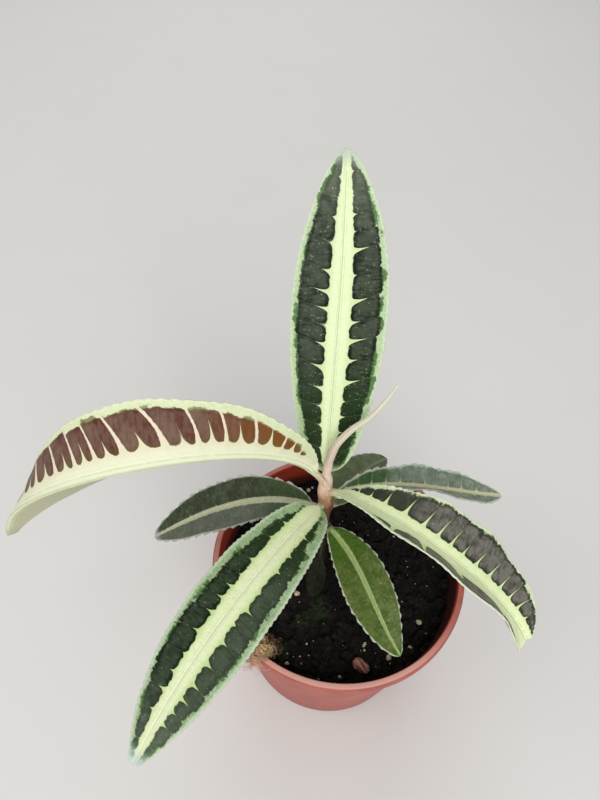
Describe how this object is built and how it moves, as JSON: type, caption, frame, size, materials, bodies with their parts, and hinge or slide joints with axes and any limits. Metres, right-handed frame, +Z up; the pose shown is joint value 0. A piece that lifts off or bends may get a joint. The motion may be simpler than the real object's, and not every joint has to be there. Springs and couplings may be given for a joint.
{
  "type": "potted foliage plant",
  "caption": "Foliage plant with long, boldly patterned arching leaves and a rolled new leaf on a short stem, in a round tapered nursery pot with a rolled lip, filled with soil.",
  "frame": {"origin": "centre of the pot's base, on the surface that the pot stands on", "axes": "+Z up along the pot's axis, -Y towards the plant's front, +X to the right as seen from the front"},
  "size_m": [0.1799, 0.1488, 0.2108],
  "materials": {
    "pot_plastic": "plain moulded terracotta colour, low sheen",
    "peat": "near-black moist peat mix with crumbs and pale perlite grains",
    "stem": "pinkish-tan young bark",
    "patterned_leaf": "pale midrib band, near-black blotches and pale margin above, cream with maroon patches below, soft sheen",
    "plain_leaf": "olive green with a pale midrib and a thin pale margin, soft sheen",
    "young_leaf": "pinkish cream, smooth",
    "dry_fibre": "dry tan rootlets",
    "bark": "rough reddish brown"
  },
  "bodies": {
    "root": {"pot": "pot_plastic", "soil": "peat", "stem": "stem", "leaf_back": "patterned_leaf", "leaf_left": "patterned_leaf", "leaf_front_left": "patterned_leaf", "leaf_right": "patterned_leaf", "leaf_left_small": "plain_leaf", "leaf_right_small": "plain_leaf", "leaf_front_small": "plain_leaf", "leaf_behind": "plain_leaf", "leaf_low": "plain_leaf", "new_leaf": "young_leaf", "fibre_tuft": "dry_fibre", "bark_chip": "bark"}
  },
  "joints": []
}
